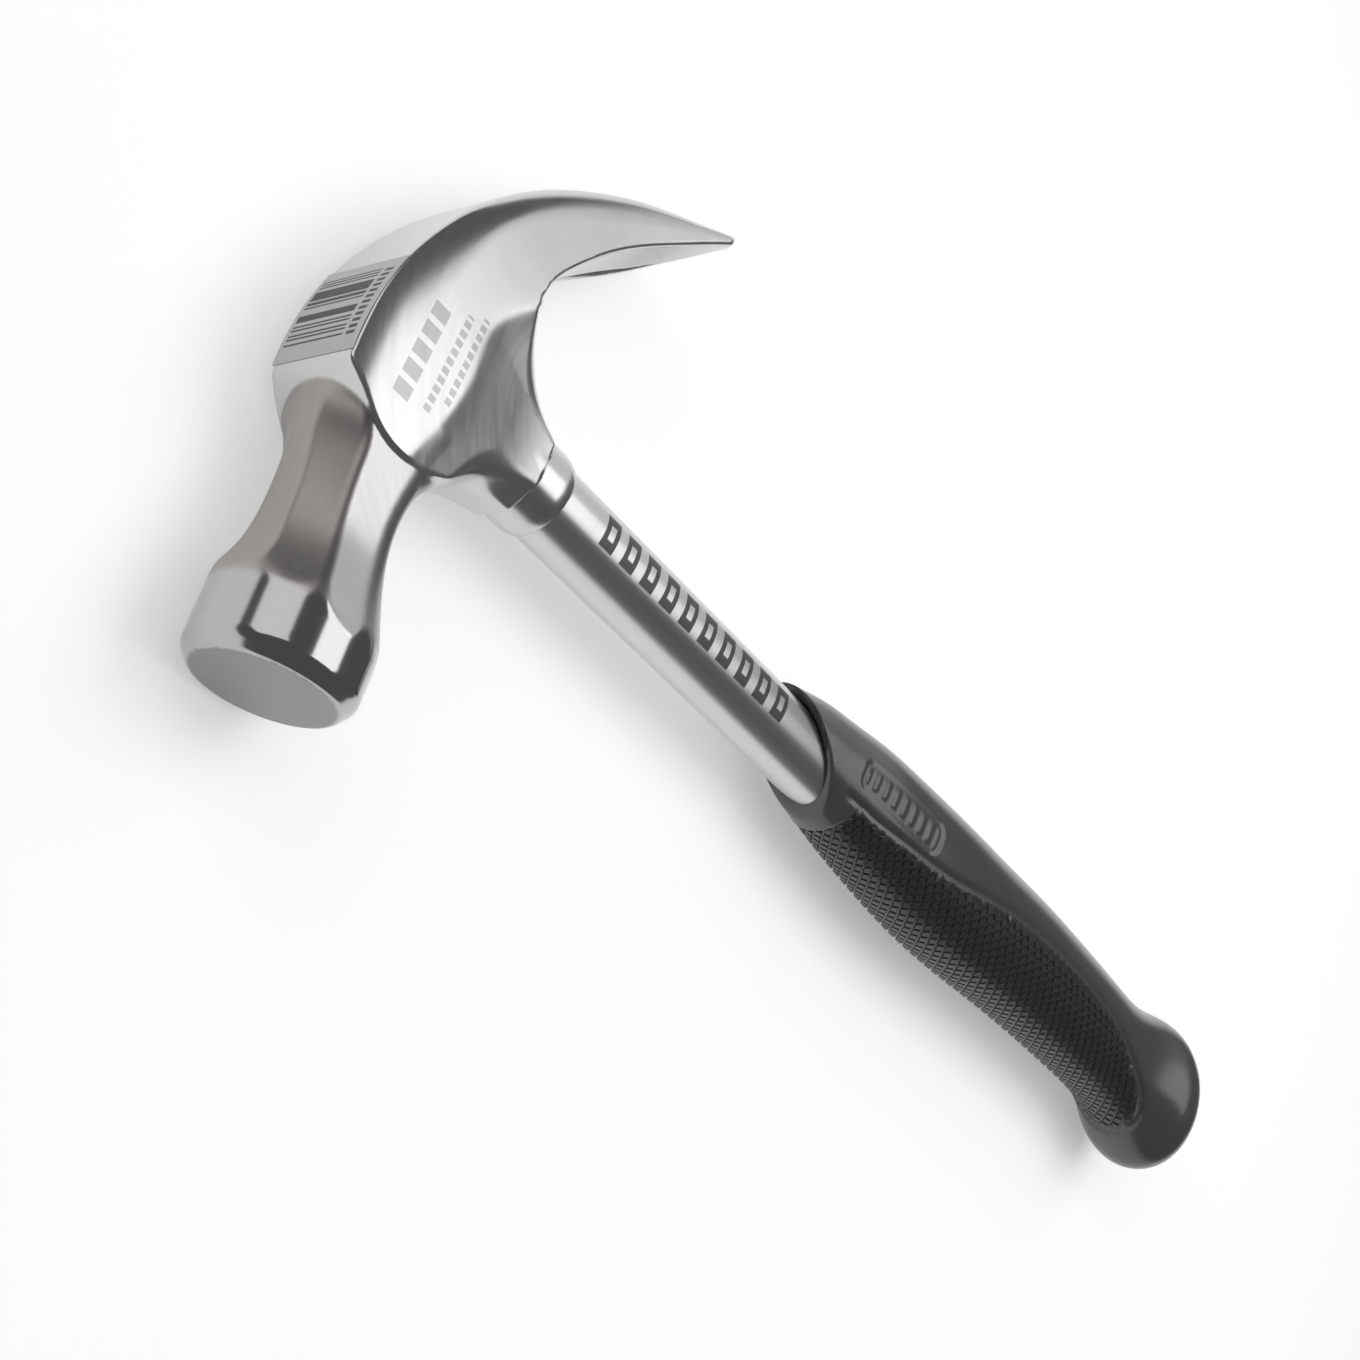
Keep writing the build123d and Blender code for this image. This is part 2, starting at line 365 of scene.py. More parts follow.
def relax(points, faces, rounds=3):
    """Evens out the spacing of mesh points."""
    ends = np.concatenate([faces[:, [i, (i + 1) % 4]] for i in range(4)])
    ends = np.concatenate([ends, ends[:, ::-1]])
    degree = np.bincount(ends[:, 0], minlength=len(points))[:, None]
    for _ in range(rounds):
        pull = [np.bincount(ends[:, 0], points[ends[:, 1], i], len(points)) for i in range(3)]
        points = (points + np.stack(pull, 1) / degree) / 2
    return points


def add_object(name, data):
    """A new object in the scene."""
    made = bpy.data.objects.new(name, data)
    bpy.context.scene.collection.objects.link(made)
    return made


def stand(made, place, side, back):
    """Puts a lamp or camera at a place, with its X and Z axes along two directions."""
    turn = Matrix((side, back.cross(side), back)).transposed().to_4x4()
    made.matrix_world = Matrix.Translation(place) @ turn


def add_mesh(name, points, faces, normals=None, **attributes):
    """A smooth shaded mesh object from points in millimetres, riding on the hammer."""
    mesh = bpy.data.meshes.new(name)
    points = np.asarray(points, float)
    if isinstance(faces, np.ndarray):
        mesh.vertices.add(len(points))
        mesh.vertices.foreach_set("co", (points * MM).ravel())
        mesh.loops.add(faces.size)
        mesh.loops.foreach_set("vertex_index", faces.ravel())
        mesh.polygons.add(len(faces))
        mesh.polygons.foreach_set("loop_start", np.arange(len(faces)) * faces.shape[1])
        mesh.update(calc_edges=True)
    else:
        mesh.from_pydata((points * MM).tolist(), [], faces)
    mesh.validate()
    mesh.shade_smooth()
    for key, values in attributes.items():
        kind = "FLOAT" if values.ndim == 1 else "FLOAT_VECTOR"
        attribute = mesh.attributes.new(key, kind, "POINT")
        attribute.data.foreach_set("value" if values.ndim == 1 else "vector", values.ravel())
    if normals is not None:
        mesh.normals_split_custom_set_from_vertices(normals.tolist())
    made = add_object(name, mesh)
    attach(made, BODY)
    return made


# --- node helpers ---------------------------------------------------------------------------
def node(tree, kind, settings=None, **inputs):
    """A shader node.  Inputs are named with _ for a space; a socket is linked, a value is set."""
    made = tree.nodes.new("ShaderNode" + kind)
    for key, value in (settings or {}).items():
        setattr(made, key, value)
    for key, value in inputs.items():
        put(tree, made.inputs[key.replace("_", " ")], value)
    return made


def put(tree, socket, value):
    """Links another node's output to a socket, or sets the socket's value."""
    if isinstance(value, bpy.types.NodeSocket):
        tree.links.new(value, socket)
    else:
        socket.default_value = value


def maths(tree, operation, *values):
    """Output of one Math node."""
    made = node(tree, "Math", {"operation": operation})
    for socket, value in zip(made.inputs, values):
        put(tree, socket, value)
    return made.outputs[0]


def mix(tree, factor, first, second):
    """Mix of two colours."""
    made = node(tree, "Mix", {"data_type": "RGBA"})
    put(tree, made.inputs[0], factor)
    put(tree, made.inputs[6], first)
    put(tree, made.inputs[7], second)
    return made.outputs[2]


def spread(tree, value, low, high, to_low=0.0, to_high=1.0, smooth=False):
    """A value moved from one range to another, and held there."""
    made = node(tree, "MapRange", {"interpolation_type": "SMOOTHSTEP" if smooth else "LINEAR"})
    for socket, number in zip(made.inputs, (value, low, high, to_low, to_high)):
        put(tree, socket, number)
    return made.outputs[0]


def times(tree, first, second):
    """Product of two values."""
    return maths(tree, "MULTIPLY", first, second)


def noise(tree, coords, scale, detail=2.0, stretch=(1, 1, 1)):
    """Noise; a small stretch along an axis draws it out into streaks along that axis."""
    placed = node(tree, "Mapping", Vector=coords, Scale=stretch).outputs[0]
    return node(tree, "TexNoise", Vector=placed, Scale=scale, Detail=detail).outputs[0]


def within(tree, value, low, high, soft=0.0001):
    """One where a value lies between two limits, else zero."""
    above = spread(tree, value, low - soft, low + soft)
    return times(tree, above, spread(tree, value, high - soft, high + soft, 1.0, 0.0))


def dashes(tree, value, low, high, period, share):
    """A row of plain dashes between two limits of a value."""
    run = maths(tree, "DIVIDE", maths(tree, "SUBTRACT", value, low), period)
    dash = maths(tree, "LESS_THAN", maths(tree, "FRACT", run), share)
    return times(tree, dash, within(tree, value, low, high))


def new_material(name):
    """A material, its node tree, its Principled shader and its object coordinates."""
    made = bpy.data.materials.new(name)
    made.use_nodes = True
    tree = made.node_tree
    shader = tree.nodes["Principled BSDF"]
    place = node(tree, "TexCoord").outputs["Object"]
    return made, tree, shader, place


def mesh_value(tree, name, output="Fac"):
    """An attribute of the mesh."""
    return node(tree, "Attribute", {"attribute_name": name}).outputs[output]


def bump(tree, shader, height, distance):
    """Fine relief: distance is its depth in metres."""
    made = node(tree, "Bump", Strength=1.0, Distance=distance, Height=height)
    put(tree, shader.inputs["Normal"], made.outputs[0])


def grey(value, warmth=0.0):
    """A grey, warmer than neutral by a share of its value."""
    return (value * (1 + warmth), value, value * (1 - warmth), 1)


# --- head -----------------------------------------------------------------------------------
back_line = Line(back_stations)
inside_line = Line(inside_stations)
front_line = Line(front_points)
flank_line = Line(flank_points, reach=60)
flat_half = spline(back_line.knots, back_stations[:, 2])
shoulder_depth = spline(back_line.knots, back_stations[:, 3])
side_half = spline(width_stations[:, 0], width_stations[:, 1])
belly_at = spline(inside_line.knots, inside_stations[:, 2])
corner_at = spline(corner_stations[:, 0], corner_stations[:, 1])
neck_parts = [spline(-neck_stations[:, 0], column) for column in neck_stations.T[1:]]


def side_of_body(x, y, above, along):
    """Half width of the cheek, claw and flank at a point of the mirror plane."""
    place = (x - claw_root[0]) * claw_slope[0] + (y - claw_root[1]) * claw_slope[1]
    span = side_half(np.clip(place, width_stations[0, 0], width_stations[-1, 0]))
    depth = shoulder_depth(np.clip(along, 0, back_line.knots[-1]))
    flat = flat_half(np.clip(along, 0, back_line.knots[-1]))
    down = np.clip(-above / depth, 0, 1)
    shoulder = np.sqrt(np.maximum(1 - (1 - down) ** 2, 0) + 1e-4)
    claw_share = ramp(along, *shoulder_change)
    rounding = claw_share * shoulder + (1 - claw_share) * (1 - (1 - down) ** 2)
    below = -flank_line.measure(x, y)[0]
    below = (below + np.sqrt(below**2 + flank_softness**2)) / 2
    fall = smooth_min(flank_slope * below, flank_most, 1.0)
    fall = fall + flank_drop * (1 - np.exp(-below / flank_reach))
    return flat + (span - flat) * rounding - fall * ramp(x, *flank_end)


def body_field(x, y, w):
    """Cheek, socket and claw."""
    above, along = back_line.measure(x, y)
    under, run = inside_line.measure(x, y)
    front = front_line.measure(x, y)[0]
    wide = side_of_body(x, y, above, along)
    side = (w - wide) * 0.9     # the side slants, so this is nearer to the true distance
    belly = belly_at(np.clip(run, 0, inside_line.knots[-1]))
    bulge = belly * np.clip((belly_edge - w) / belly_run, 0, 1)
    solid = smooth_max(side, above, crisp)
    claw = ramp(y, *throat_height) + ramp(x, *throat_reach)
    lower_edge = 2.4 - 1.6 * np.clip(claw, 0, 1)
    solid = smooth_max(solid, under - bulge, lower_edge)
    solid = smooth_max(solid, front, 1.0)
    # corner facets of the socket, with edges that soften upwards
    corner = corner_at(y)
    towards_front = (w - corner + front) * diagonal
    towards_back = (w - corner + under) * diagonal - corner_lift * ramp(x, *corner_end)
    softness = 0.6 + 2.2 * ramp(y, 8, 22)
    solid = smooth_max(solid, smooth_max(towards_front, towards_back, 0.5), softness)
    return smooth_max(solid, socket_floor - y - socket_lift * ramp(x, *socket_end), fine)


def neck_field(x, y, w):
    """Faceted neck and round bell, and the plane of the neck's upper chamfer."""
    top, top_half, rise, shoulder, half, hip, bottom = [part(-x) for part in neck_parts]
    drop, run = rise - shoulder, half - top_half
    chamfer = ((w - top_half) * drop + (y - rise) * run) / np.hypot(drop, run)
    ridge_bevel = (y - (ridge[1] + (x - ridge[0]) * ridge_rise)) / math.hypot(1, ridge_rise)
    crown = smooth_min(y - top, ridge_bevel, 0.3)
    drop, run = hip - bottom, half - top_half
    lower = ((w - top_half) * drop + (bottom - y) * run) / np.hypot(drop, run)
    side = smooth_max(w - half, lower, 3.5)
    side = smooth_max(side, bottom - y, 5.0)
    upper = smooth_max(crown, chamfer, crisp)
    facets = smooth_max(side, upper, 1.2)
    facets = smooth_max(facets, x - neck_back, 1.0)
    # bell, turned about the poll's axis
    u = (x - bell_edge[0]) * math.cos(poll_droop) + (y - bell_edge[1]) * math.sin(poll_droop)
    v = (y - bell_edge[1]) * math.cos(poll_droop) - (x - bell_edge[0]) * math.sin(poll_droop)
    r = np.hypot(v, w)
    slope = (bell_radius - face_radius) / face_bevel
    bevel = (r - bell_radius - slope * u) / math.hypot(1, slope)
    bell = smooth_max(r - bell_radius, bevel, crisp)
    bell = smooth_max(bell, -face_bevel - u, crisp)
    return smooth_max(facets, bell, 0.8), chamfer


def slot_field(x, y, w, depth):
    """The nail slot, wider towards the inside of the claw; depth is the distance into the claw."""
    ax, ay = slot_mouth[0] - slot_root[0], slot_mouth[1] - slot_root[1]
    length = math.hypot(ax, ay)
    u = ((x - slot_root[0]) * ax + (y - slot_root[1]) * ay) / length
    half = slot_root_radius + (slot_mouth_half - slot_root_radius) * np.maximum(u, 0) / length
    bevel = slot_bevel * np.maximum(slot_bevel_depth - depth, 0) * ramp(u, *slot_bevel_start)
    return np.hypot(w, np.minimum(u, 0)) - half - bevel


def head_field(x, y, z):
    """The whole head: negative inside."""
    w = np.sqrt(z * z + 0.01)   # half width, smooth across the mirror plane
    body = body_field(x, y, w)
    neck, chamfer = neck_field(x, y, w)
    body = smooth_max(body, chamfer - ridge_lift * ramp(x, *ridge_cut), fine)
    neck = smooth_max(neck, back_line.measure(x, y)[0], crisp)
    softness = 0.6 + neck_blend * ramp(y, *neck_blend_height) * ramp(w, *neck_blend_half)
    solid = smooth_min(body, neck, softness)
    radius = np.hypot(x, w)
    collar = smooth_max(radius - collar_radius, y - collar_top, 0.5)
    slope = collar_bevel / collar_bevel_height
    bevel = (radius - collar_radius - slope * y) / math.hypot(1, slope)
    collar = smooth_max(collar, bevel, 0.5)
    collar = smooth_max(collar, -collar_bevel_height - y, fine)
    solid = smooth_min(solid, collar, 0.2)
    depth = -inside_line.measure(x, y)[0]
    solid = smooth_max(solid, -slot_field(x, y, w, depth), 0.6)
    tip = (x - tip_corner[0]) * tip_direction[0] + (y - tip_corner[1]) * tip_direction[1]
    tip = (tip - (claw_half - w) * tip_slant) / math.hypot(1, tip_slant)
    solid = smooth_max(solid, tip, 1.6)
    solid = smooth_max(solid, x - head_high[0] + tip_clear, fine)
    bore = eye_bore + (eye_bore_low - eye_bore) * ramp(y, *eye_step)
    return smooth_max(solid, bore - radius, fine)


def head_piece():
    """The forged head, with the shares of its finishes as attributes of the mesh."""
    margin = 2 * head_step
    points, faces = surface_of(head_field, head_low - margin, head_high + margin, head_step)
    points = settle(head_field, relax(settle(head_field, points), faces))
    normals = slope_of(head_field, points)
    normals /= np.linalg.norm(normals, axis=1)[:, None]
    x, y, z = points.T
    on_neck = ramp(body_field(x, y, np.abs(z)) - neck_field(x, y, np.abs(z))[0], -0.3, 0.3)
    turn = np.arctan2(x - bow_centre[0], y - bow_centre[1])
    bow = np.hypot(x - bow_centre[0], y - bow_centre[1])
    head = add_mesh(
        "hammer_head",
        points,
        faces,
        normals,
        flow=np.stack([turn * bow_radius, bow, z], 1) * MM,
        neck=on_neck * (0.35 + 0.65 * ramp(normals[:, 1], 0.1, 0.3)),
        bell=ramp(x, *bell_start),
        face=ramp(-normals[:, 0], 0.93, 0.98) * ramp(x, *face_start),
    )
    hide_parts("head")
    return head


head = head_piece()


# --- tube -----------------------------------------------------------------------------------
tube_wall = 1.8
tube_edge = 0.4                 # radius of the edges
tube_rows = 60


def turned(profile, count=144):
    """A closed ring of a profile of (radius, y) points about the handle's axis."""
    profile = np.array(profile)
    angle = np.arange(count) * 2 * math.pi / count
    rings = [
        np.stack([r * np.cos(angle), np.full(count, y), r * np.sin(angle)], 1) for r, y in profile
    ]
    n = len(profile)
    ring, step = np.meshgrid(np.arange(n), np.arange(count), indexing="ij")
    beside, ring, after = (step + 1) % count, ring * count, (ring + 1) % n * count
    quads = np.stack([ring + step, after + step, after + beside, ring + beside], -1)
    return np.concatenate(rings), quads.reshape(-1, 4)


def tube_piece():
    """The handle's tube, with rounded outer edges at its ends."""
    outer, inner = tube_radius, tube_radius - tube_wall

    def edge(y, sign):
        return [
            (
                outer - tube_edge * (1 - math.sin(turn)),
                y + sign * tube_edge * (1 - math.cos(turn)),
            )
            for turn in np.linspace(0, math.pi / 2, 4)
        ]

    lower, upper = edge(tube_low[1], 1), edge(tube_high[1], -1)[::-1]
    rows = [(outer, y) for y in np.linspace(tube_low[1] + 2, tube_high[1] - 2, tube_rows)]
    profile = [*lower, *rows, *upper, (inner, tube_high[1]), (inner, tube_low[1])]
    points, faces = turned(profile)
    made = add_mesh("handle_tube", points, faces)
    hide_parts("shaft_tube")
    return made


tube = tube_piece()

# --- grip -----------------------------------------------------------------------------------
# One row per station: y, centre x, half depth, half width
grip_stations = np.array([
    (-76.0, 0.3, 8.9, 8.9),
    (-83.0, 1.2, 9.7, 9.4),
    (-90.0, 1.9, 10.8, 10.2),
    (-100.0, 1.9, 12.2, 11.2),
    (-112.0, 1.7, 13.8, 12.7),
    (-128.0, 1.2, 15.0, 13.8),
    (-146.0, 0.8, 15.8, 14.5),
    (-164.0, 0.9, 15.8, 14.5),
    (-184.0, 1.7, 15.3, 14.1),
    (-204.0, 1.9, 14.6, 13.4),
    (-222.0, 1.6, 14.0, 12.9),
    (-233.0, 1.4, 13.9, 12.8),
    (-241.0, 1.6, 14.8, 13.6),
    (-248.0, 1.4, 16.6, 15.2),
    (-254.0, 0.0, 17.9, 16.5),
    (-259.0, -2.2, 17.0, 15.7),
    (-263.5, -4.2, 13.8, 12.7),
    (-266.5, -5.2, 10.0, 9.2),
    (-268.4, -5.6, 6.0, 5.5),
])
rim_y = -91.0
rim_slope = math.tan(math.radians(47.0))
rim_search = (-112.0, -70.0)    # the rim lies between these heights all round
lip_edge = 0.5                  # radius of the lip's edges
lip_arc = 0.29                  # how far the middle of such an edge stays back, in radii
lip_depth = 0.75                # the skin's first ring is this far below the rim
bore_edge = 1.2                 # and the bore's first ring below its own
bore_radius = tube_radius + 0.05
bore_floor = tube_low[1] - 2.0
knurl_count = 28                # squares around the grip, counted along one ring
knurl_rows = 51                 # and from knurl_top down to the butt
rim_rows = 5                    # mesh periods between the rim and knurl_top
knurl_top = -106.0
knurl_depth = 0.42
knurl_sink = 0.2                # the squares' tops lie this much below the smooth side
knurl_edge = (1.0, 1.7)         # distance from the seam over which the knurl starts
knurl_fade = 1.2                # and from knurl_top
# Mesh lines across one square of the knurl (groove, wall, top, wall) and their heights
knurl_lines = np.array([0.0, 0.09, 0.18, 0.82, 0.91])
knurl_heights = np.array([0, 0, 1, 1, 0])
unroll_radius = 14.0
# Seam between the smooth side and the knurl: angle from the claw side, y
seam_stations = np.array([
    (125.0, -92.0),
    (122.5, -103.6),
    (121.0, -111.7),
    (115.0, -124.0),
    (110.0, -134.9),
    (104.0, -144.2),
    (97.0, -152.4),
    (88.5, -165.9),
    (85.5, -181.9),
    (85.0, -193.5),
    (86.0, -204.0),
    (91.5, -217.5),
    (102.0, -227.2),
    (112.0, -233.0),
    (127.0, -240.5),
    (150.0, -246.5),
    (180.0, -248.0),
])
seam_depth, seam_half = 0.7, 0.75
seam_start = (-100.5, -104.0)   # y: the seam fades in below the rim
seam_reach = (8.0, 2.0)         # and out well inside the knurl
badge_centre = (92.0, -117.0)   # angle, y
badge_radius = 12.6             # of the grip there
badge_half = (3.5, 14.6)
badge_corner = 2.2
badge_depth = 0.35
badge_wall = (-0.1, 0.5)
rib_period, rib_share, rib_soft = 3.3, 0.45, 0.15
rib_height = 0.8                # in badge depths
rib_end = (1.2, 1.7)            # distance from the badge's edge
sharp_angle = math.radians(34)  # edges of the grip that turn more are shaded sharp


def grip_section(y):
    """Centre, half depth and half width of the grip at a height."""
    stations = grip_stations.T
    centre, depth, width = [spline(-stations[0], column)(-y) for column in stations[1:]]
    return centre, depth, np.minimum(width, grip_high[2] - 0.02)


def grip_point(angle, y, sink=0.0):
    """Point of the grip's surface, or under it."""
    centre, depth, width = grip_section(y)
    x, z = centre + (depth - sink) * np.cos(angle), (width - sink) * np.sin(angle)
    return np.stack(np.broadcast_arrays(x, y, z), -1)


def rim_height(angle, lower=0.0):
    """Height at which the slanted rim plane meets the grip's side, at an angle."""
    low, high = [np.full(np.shape(angle), limit) for limit in rim_search]
    for _ in range(30):
        middle = (low + high) / 2
        above = middle > rim_y - lower + rim_slope * grip_point(angle, middle)[..., 0]
        low, high = np.where(above, low, middle), np.where(above, middle, high)
    return low


seam_line = Line(seam_stations * (math.radians(unroll_radius), 1.0), reach=60)


def grip_relief(angle, y):
    """How deep the seam groove and the badge lie, and the share of knurl, at points of the grip."""
    turn = np.abs(np.arctan2(np.sin(angle), np.cos(angle)))
    inside = seam_line.measure(turn * unroll_radius, y)[0]
    knurl = ramp(inside, *knurl_edge) * ramp(y, knurl_top, knurl_top - knurl_fade)
    seam = np.exp(-((inside / seam_half) ** 2)) * ramp(y, *seam_start) * ramp(inside, *seam_reach)
    across = (turn - math.radians(badge_centre[0])) * badge_radius
    up = y - badge_centre[1]
    corner_x = np.maximum(np.abs(across) - badge_half[0] + badge_corner, 0)
    corner_y = np.maximum(np.abs(up) - badge_half[1] + badge_corner, 0)
    edge = badge_corner - np.hypot(corner_x, corner_y)
    rib = np.abs(up / rib_period - np.round(up / rib_period)) * 2
    ribs = ramp(rib, rib_share + rib_soft, rib_share - rib_soft) * ramp(edge, *rib_end)
    badge = ramp(edge, *badge_wall) * (1 - rib_height * ribs)
    return seam_depth * seam + badge_depth * badge + knurl_sink * knurl, knurl


def grip_piece():
    """Rubber grip: knurled skin on a slanting grid of squares, lip, bore and butt."""
    parts = len(knurl_lines)
    count, rows = knurl_count * parts, (rim_rows + knurl_rows) * 2 * parts + 1
    row, column = np.meshgrid(np.arange(rows), np.arange(count), indexing="ij")
    first, second = row + column, column
    pitch = (knurl_top - grip_low[1]) / knurl_rows

    def placed(p, q):
        """Angle and height of a place on the slanting grid, counted in squares."""
        angle, fall = (p + q) * math.pi / knurl_count, (p - q) / 2
        rim = rim_height(angle, lip_depth)
        upper = rim + (knurl_top - rim) * np.minimum(fall / rim_rows, 1)
        return angle, np.where(fall < rim_rows, upper, knurl_top - pitch * (fall - rim_rows))

    even_p, even_q = first / parts, second / parts
    # the mesh lines gather at the grooves where there is knurl, and are even elsewhere
    share = grip_relief(*placed(even_p, even_q))[1]
    cut_p = first // parts + knurl_lines[first % parts]
    cut_q = second // parts + knurl_lines[second % parts]
    angle, y = placed(even_p + (cut_p - even_p) * share, even_q + (cut_q - even_q) * share)
    depth, knurl = grip_relief(angle, y)
    square = np.minimum(knurl_heights[first % parts], knurl_heights[second % parts])
    skin = grip_point(angle, y, depth + knurl_depth * knurl * (1 - square))

    angle = angle[0]
    outer = grip_point(angle, rim_height(angle))
    wall = np.stack([bore_radius * np.cos(angle), angle * 0, bore_radius * np.sin(angle)], 1)
    wall[:, 1] = rim_y + rim_slope * wall[:, 0]
    inward = wall - outer
    thick = np.linalg.norm(inward, axis=1)[:, None]
    inward /= thick
    edge = np.minimum(lip_edge, 0.4 * thick)
    down = np.array([rim_slope, -1.0, 0.0]) / math.hypot(1, rim_slope)
    lip = [
        outer + lip_arc * edge * (inward + down),
        outer + edge * inward,
        wall - edge * inward,
        wall + lip_arc * edge * (down - inward),
        wall + (0, -bore_edge, 0),
        np.where([False, True, False], bore_floor, wall),
        wall * (0.01, 0, 0.01) + (0, bore_floor, 0),
    ]
    pole = skin[-1].mean(0)
    butt = [(skin[-1] - pole) * share + pole for share in (0.75, 0.5, 0.25, 0.01)]
    rings = np.concatenate([lip[::-1], skin, butt])
    first_of = count * np.arange(len(rings))
    start, end = len(lip), len(lip) + rows - 1
    here, beside = np.arange(count), (np.arange(count) + 1) % count

    def quads(a, b):
        """Quads between two rings, given by the numbers of their first points."""
        return np.stack([a + here, a + beside, b + beside, b + here], 1)

    plain_rings = [*range(start), *range(end, len(rings) - 1)]
    plain = [quads(first_of[i], first_of[i + 1]) for i in plain_rings]
    k = first_of[start + 1 : end, None]
    slanted = np.stack([k + here, k - count + beside, k + beside, k + count + here], -1)
    k = first_of[start]
    top = np.stack([k + here, k + beside, k + count + here], 1)
    k = first_of[end]
    bottom = np.stack([k - count + beside, k + beside, k + here], 1)
    caps = [here[::-1].tolist(), (first_of[-1] + here).tolist()]
    faces = np.concatenate([*plain, slanted.reshape(-1, 4)]).tolist()
    faces += top.tolist() + bottom.tolist() + caps
    knurl_share = np.zeros(rings.shape[:2])
    knurl_share[start : end + 1] = knurl
    made = add_mesh("rubber_grip", rings.reshape(-1, 3), faces, knurl=knurl_share.ravel())
    made.data.set_sharp_from_angle(angle=sharp_angle)
    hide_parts("grip")
    return made


grip = grip_piece()


# --- materials, with their lengths in metres --------------------------------------------------
# Rows of dashes etched into the near cheek: x from and to, period, share, y from and to
etched_rows = [
    (-0.0140, 0.0075, 0.0043, 0.70, 0.0425, 0.0465),
    (-0.0125, 0.0090, 0.0021, 0.65, 0.0375, 0.0392),
    (-0.0085, 0.0110, 0.0021, 0.65, 0.0342, 0.0357),
]
etched_height = 0.0115          # the etching is only on the side above this z
etched_strength = 0.75
# Hollow blocks printed along the tube: y from and to, their pitch, angles round the tube
print_run = (-0.0765, -0.0105)
print_pitch = 0.0066
print_inset = 0.0012            # from a block's lower edge to its hollow
print_angles = (62, 112)
hollow_angles = (76, 98)
# Bar code on the label: width of a bar, x from and to, z from and to; then its row of dashes
bar_width = 0.00042
bars_x, bars_z = (-0.0095, 0.0075), (-0.0098, 0.0062)
dashes_x, dashes_z = (-0.0090, 0.0072), (0.0072, 0.0094)
dash_pitch = 0.0014


def forged_steel():
    """Satin ground steel, with as-forged facets on the neck, a turned bell and a dark face."""
    made, tree, shader, place = new_material("forged_steel")
    flow = mesh_value(tree, "flow", "Vector")
    neck, bell, face = [mesh_value(tree, name) for name in ("neck", "bell", "face")]
    streaks = noise(tree, flow, 900, 3.0, (0.06, 1, 1))
    cloud = noise(tree, place, 90, 3.0)
    ground = mix(tree, cloud, grey(0.56), grey(0.63))
    forged = mix(tree, cloud, grey(0.30, 0.05), grey(0.37, 0.05))
    colour = mix(tree, neck, ground, forged)
    colour = mix(tree, bell, colour, grey(0.46, 0.02))
    colour = mix(tree, face, colour, grey(0.25, 0.04))
    x, y, z = node(tree, "SeparateXYZ", Vector=place).outputs
    etched = 0.0
    for left, right, period, share, bottom, top in etched_rows:
        row = times(tree, dashes(tree, x, left, right, period, share), within(tree, y, bottom, top))
        etched = maths(tree, "ADD", etched, row)
    etched = times(tree, etched, maths(tree, "GREATER_THAN", z, etched_height))
    colour = mix(tree, times(tree, etched, etched_strength), colour, grey(0.30))
    put(tree, shader.inputs["Base Color"], colour)
    shader.inputs["Metallic"].default_value = 1.0
    rough = spread(tree, streaks, 0.3, 0.7, 0.21, 0.26)
    rough = maths(tree, "ADD", rough, times(tree, neck, 0.15))
    rough = times(tree, rough, maths(tree, "SUBTRACT", 1.0, bell))
    rough = maths(tree, "ADD", rough, times(tree, bell, 0.13))
    rough = maths(tree, "ADD", rough, times(tree, face, 0.2))
    put(tree, shader.inputs["Roughness"], rough)
    bump(tree, shader, streaks, 0.000004)
    return made


def tube_steel():
    """Satin chrome with a row of printed blocks."""
    made, tree, shader, place = new_material("tube_steel")
    streaks = noise(tree, place, 700, 2.0, (1, 0.02, 1))
    x, y, z = node(tree, "SeparateXYZ", Vector=place).outputs
    turn = maths(tree, "DEGREES", maths(tree, "ARCTAN2", z, x))
    start, end = print_run
    blocks = dashes(tree, y, start, end, print_pitch, 0.62)
    blocks = times(tree, blocks, within(tree, turn, *print_angles, 1.0))
    hollow = dashes(tree, y, start + print_inset, end, print_pitch, 0.25)
    hollow = times(tree, hollow, within(tree, turn, *hollow_angles, 1.0))
    print_mark = maths(tree, "SUBTRACT", blocks, hollow)
    bare = mix(tree, streaks, grey(0.60), grey(0.64))
    put(tree, shader.inputs["Base Color"], mix(tree, print_mark, bare, grey(0.05)))
    put(tree, shader.inputs["Metallic"], maths(tree, "SUBTRACT", 1.0, print_mark))
    put(tree, shader.inputs["Roughness"], spread(tree, streaks, 0.3, 0.7, 0.27, 0.30))
    return made


def rubber():
    """Satin rubber, duller in the knurl, where a darker base colour is painted shade for the shade
    among its squares.
    """
    made, tree, shader, place = new_material("grip_rubber")
    grain = noise(tree, place, 1800, 3.0)
    cloud = noise(tree, place, 60, 2.0)
    knurl = mesh_value(tree, "knurl")
    smooth = mix(tree, cloud, grey(0.054, 0.02), grey(0.070, 0.02))
    # the darker grey in the knurl is painted shade, standing in for the shade that falls between
    # its squares
    put(tree, shader.inputs["Base Color"], mix(tree, knurl, smooth, grey(0.024)))
    rough = spread(tree, grain, 0.3, 0.7, 0.19, 0.25)
    rough = maths(tree, "ADD", rough, times(tree, knurl, 0.1))
    put(tree, shader.inputs["Roughness"], rough)
    shader.inputs["Specular IOR Level"].default_value = 0.75
    bump(tree, shader, grain, 0.00003)
    return made


